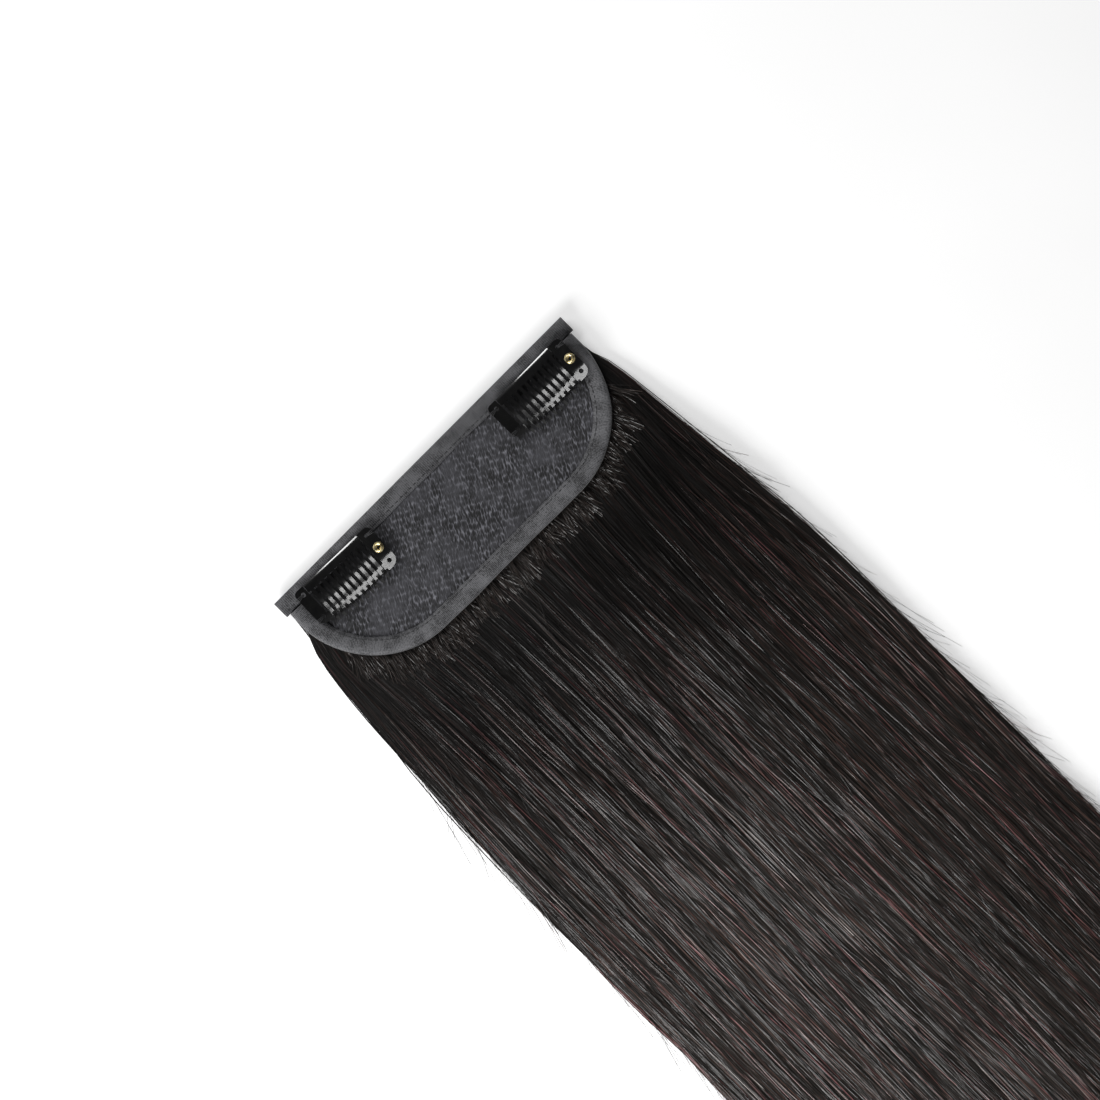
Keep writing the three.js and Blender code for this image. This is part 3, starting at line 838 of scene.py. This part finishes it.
def black_enamel(clip_middle, curl_y, rise, bow):
    """Stoved black enamel over steel: deep black with a wet gloss that breaks up a little on the
    orange peel. Past curl_y the stamping curls towards its toothed edge, and the comb is bowed
    along its length. The bump gives both, for their highlights, on top of the solid's own bow."""
    patch_size = 2.5 * mm
    peel_size = 0.5 * mm
    peel_height = 0.002 * mm
    curl_ease = 3 * mm

    def inputs(tree):
        place = add(tree, "ShaderNodeTexCoord").outputs["Object"]
        haze = add(
            tree, "ShaderNodeTexNoise", {"Vector": place, "Scale": 1 / patch_size, "Detail": 4}
        ).outputs["Fac"]
        rough = add(
            tree,
            "ShaderNodeMapRange",
            {"Value": haze, "From Min": 0.3, "From Max": 0.7, "To Min": 0.1, "To Max": 0.17},
        )
        peel = add(
            tree, "ShaderNodeTexNoise", {"Vector": place, "Scale": 1 / peel_size, "Detail": 1}
        ).outputs["Fac"]
        from_middle = add(
            tree, "ShaderNodeVectorMath", {0: place, 1: tuple(clip_middle)}, operation="SUBTRACT"
        ).outputs["Vector"]
        offset = add(tree, "ShaderNodeSeparateXYZ", {"Vector": from_middle}).outputs
        past = add(
            tree, "ShaderNodeMath", {0: curl_y, 1: offset["Y"]}, operation="SUBTRACT"
        ).outputs["Value"]
        curl = add(
            tree, "ShaderNodeMath", {0: past, 1: 0.0, 2: curl_ease}, operation="SMOOTH_MAX"
        ).outputs["Value"]
        curled = add(
            tree, "ShaderNodeMath", {0: curl, 1: rise}, operation="MULTIPLY"
        ).outputs["Value"]
        squared = add(
            tree, "ShaderNodeMath", {0: offset["X"], 1: offset["X"]}, operation="MULTIPLY"
        ).outputs["Value"]
        bent = add(
            tree, "ShaderNodeMath", {0: squared, 1: bow, 2: curled}, operation="MULTIPLY_ADD"
        ).outputs["Value"]
        height = add(
            tree, "ShaderNodeMath", {0: peel, 1: peel_height, 2: bent}, operation="MULTIPLY_ADD"
        ).outputs["Value"]
        raised = add(tree, "ShaderNodeBump", {"Height": height, "Strength": 1, "Distance": 1})
        return {
            "Base Color": ramp(tree, haze, [(0.3, "#070708"), (0.7, "#101010")]),
            "Roughness": rough.outputs["Result"],
            "Coat Weight": 0.8,
            "Coat Roughness": 0.13,
            "Coat IOR": 1.8,
            "Normal": raised.outputs["Normal"],
        }

    return inputs


def rolled_brass(tree):
    """Rolled brass: pale yellow metal, bright on its curl, with a little tarnish in patches."""
    patch_size = 0.8 * mm
    place = add(tree, "ShaderNodeTexCoord").outputs["Object"]
    tarnish = add(
        tree, "ShaderNodeTexNoise", {"Vector": place, "Scale": 1 / patch_size, "Detail": 5}
    ).outputs["Fac"]
    rough = add(
        tree,
        "ShaderNodeMapRange",
        {"Value": tarnish, "From Min": 0.3, "From Max": 0.7, "To Min": 0.16, "To Max": 0.36},
    )
    return {
        "Base Color": ramp(tree, tarnish, [(0.3, "#d8c080"), (0.7, "#fbefc4")]),
        "Metallic": 1,
        "Roughness": rough.outputs["Result"],
    }


brass = new_material("rolled brass", rolled_brass)
for side in ("left", "right"):
    frame_low, frame_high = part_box(f"clip_frame_{side}")
    clip_middle = (frame_low + frame_high) / 2
    finishes = {"eyelet": brass}
    for part_name, curl_y, rise, bow in clip_curls:
        enamel = black_enamel(clip_middle, curl_y, rise, bow)
        finishes[part_name] = new_material(f"black enamelled {part_name}, {side}", enamel)
    for part_name, material in finishes.items():
        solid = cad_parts[f"clip_{part_name}_{side}"]
        solid.data.materials.clear()
        solid.data.materials.append(material)
        weld = solid.modifiers.new("weld", "WELD")
        weld.merge_threshold = 0.001 * mm
        flats = solid.modifiers.new("whole flats", "DECIMATE")
        flats.decimate_type = "DISSOLVE"
        flats.angle_limit = math.radians(0.6)
        rounding = solid.modifiers.new("rounded edges", "BEVEL")
        rounding.width = edge_radii[part_name]
        rounding.segments = 3
        rounding.angle_limit = math.radians(30)
        solid.modifiers.new("even shading", "WEIGHTED_NORMAL")

# The thread that holds the clips
# Each clip is sewn on by hand through three holes of its end plates, with three turns of thread in
# each, out over the plate's end and back under it into the lace or the tape. The fourth hole
# stays open. Each turn is given by how far out from its hole it is, and by its height above the
# panel's underside.
clip_seats = [
    # across the panel, down it, and turned in its plane
    (-41.85 * mm, 10.6 * mm, math.radians(-1.8)),
    (42.85 * mm, 11.8 * mm, math.radians(0.3)),
]
hole_places = [(-13.7 * mm, -5.3 * mm), (-13.7 * mm, 4 * mm), (13.7 * mm, -5.3 * mm)]
clip_thread_radius = 0.12 * mm
turn_pitch = 0.22 * mm
turn_fan = 0.14
turn_lean = 0.1
turn_out = np.array([0, 0, 0.25, 0.7, 1.5, 2.2, 2.5, 2.52, 2.1, 1.7]) * mm
turn_height = np.array([4.2, 5.7, 6.1, 6.2, 6.34, 6.48, 6.3, 5.6, 3.7, 1.9]) * mm
turns = []
for seat_x, seat_down, seat_turn in clip_seats:
    for hole_x, hole_down in hole_places:
        for n in (-1, 0, 1):
            x = hole_x + math.copysign(1, hole_x) * turn_out
            down = hole_down + n * (turn_pitch + turn_fan * turn_out) + turn_lean * turn_out
            across_panel = seat_x + x * math.cos(seat_turn) + down * math.sin(seat_turn)
            down_panel = seat_down - x * math.sin(seat_turn) + down * math.cos(seat_turn)
            turns.append(on_panel(across_panel, down_panel, turn_height))
thread_runs("clip_threads", np.array(turns), clip_thread_radius)

# The table and the light
# A plain white light table, which glows a little, between two pale walls of a room that is dark
# above and at its ends. A broad soft light stands at the picture's lower left, and a far window
# past the weft's top edge gives the clips their highlights. Lengths are in metres.
floor_size = 6
floor_mesh = bpy.data.meshes.new("table")
half = floor_size / 2
corners = [(-half, -half, 0), (half, -half, 0), (half, half, 0), (-half, half, 0)]
floor_mesh.from_pydata(corners, [], [(0, 1, 2, 3)])
floor = bpy.data.objects.new("table", floor_mesh)
bpy.context.scene.collection.objects.link(floor)
table_glow = 0.4


def opal_acrylic(tree):
    """Opal acrylic sheet, lit from behind: an even white with the softest mottling."""
    mottle_size = 90 * mm
    place = add(tree, "ShaderNodeTexCoord").outputs["Object"]
    mottle = add(
        tree, "ShaderNodeTexNoise", {"Vector": place, "Scale": 1 / mottle_size, "Detail": 2}
    ).outputs["Fac"]
    return {
        "Base Color": ramp(tree, mottle, [(0.3, "#f6f6f6"), (0.7, "#fafafa")]),
        "Roughness": 0.9,
        "Emission Color": linear("#ffffff"),
        "Emission Strength": table_glow,
    }


floor_mesh.materials.append(new_material("opal acrylic", opal_acrylic))


def soft_light(name, place, width, height, radiance):
    """A panel light of an even radiance, aimed at the weft, that the camera doesn't see."""
    light = bpy.data.lights.new(name, "AREA")
    light.shape = "RECTANGLE"
    light.size, light.size_y = width, height
    light.energy = radiance * math.pi * width * height
    made = bpy.data.objects.new(name, light)
    made.location = place
    made.rotation_euler = (view_centre - made.location).to_track_quat("-Z", "Y").to_euler()
    made.visible_camera = False
    bpy.context.scene.collection.objects.link(made)


soft_light("key", Vector((-0.5, -0.04, 0.38)), width=0.34, height=0.34, radiance=9.8)
soft_light("far window", Vector((-0.19, 1.02, 1.0)), width=0.62, height=0.32, radiance=10)

world = bpy.data.worlds.new("studio")
world.use_nodes = True
room = world.node_tree
direction = add(room, "ShaderNodeTexCoord").outputs["Generated"]
toward = add(room, "ShaderNodeSeparateXYZ", {"Vector": direction}).outputs
to_wall = add(room, "ShaderNodeMath", {0: toward["Y"]}, operation="ABSOLUTE").outputs["Value"]
walls = ramp(room, to_wall, [(0.35, "#484848"), (0.8, "#c4c4c4")])
background = room.nodes["Background"]
room.links.new(walls, background.inputs["Color"])
background.inputs["Strength"].default_value = 0.6
bpy.context.scene.world = world
bpy.context.scene.view_settings.view_transform = "Standard"
